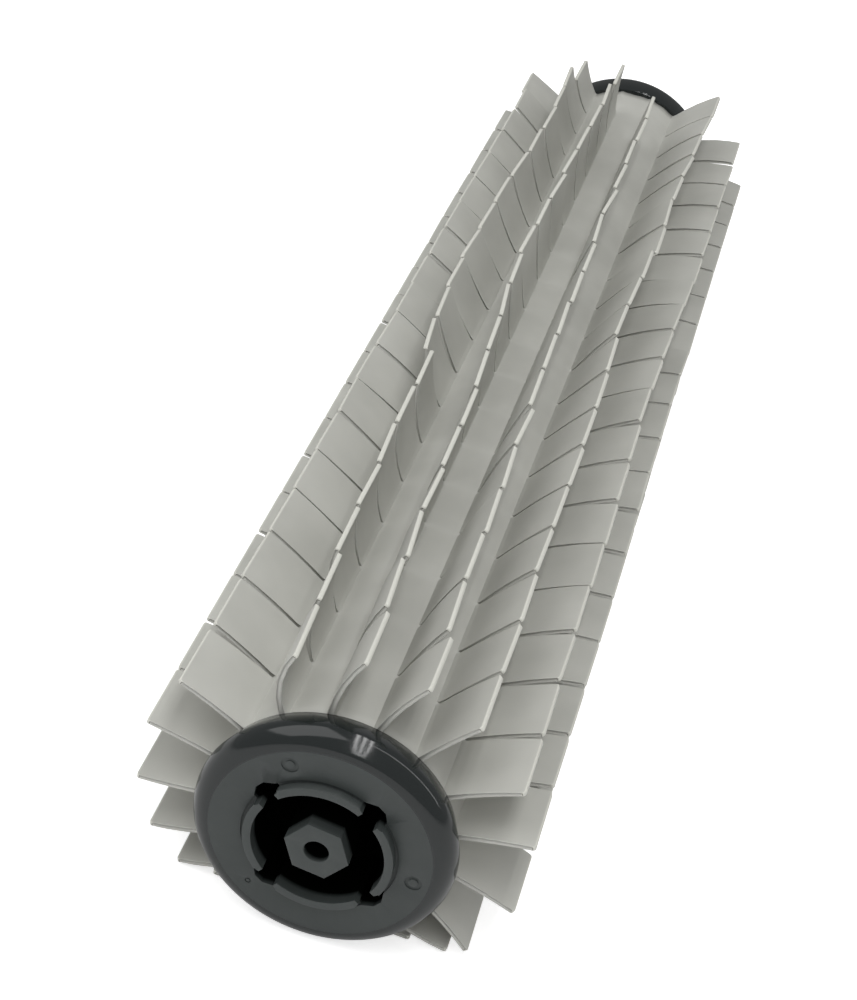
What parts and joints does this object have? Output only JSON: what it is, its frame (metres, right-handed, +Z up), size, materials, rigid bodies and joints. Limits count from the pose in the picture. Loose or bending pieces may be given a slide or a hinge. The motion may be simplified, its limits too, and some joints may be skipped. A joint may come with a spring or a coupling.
{
  "type": "pool cleaner brush",
  "caption": "Cylindrical scrubbing brush for a pool cleaner, with slit rubber blades on a tube between two drive end caps.",
  "frame": {"origin": "on the floor under the middle of the roller, where its two cap rims and folded blades rest", "axes": "+Y along the roller's axis from the near cap to the far cap, +Z up, +X to the right as seen from the near cap"},
  "size_m": [0.0925, 0.4048, 0.0771],
  "materials": {
    "sleeve_pvc": "satin grey flexible moulding, paler on the cut edges",
    "tube_plastic": "plain pale plastic tube",
    "cap_plastic": "dark slate moulded plastic, slightly glossy on the rim"
  },
  "bodies": {
    "root": {"brush_sleeve": "sleeve_pvc", "core_tube": "tube_plastic", "end_cap_near": "cap_plastic", "end_cap_far": "cap_plastic"}
  },
  "joints": []
}
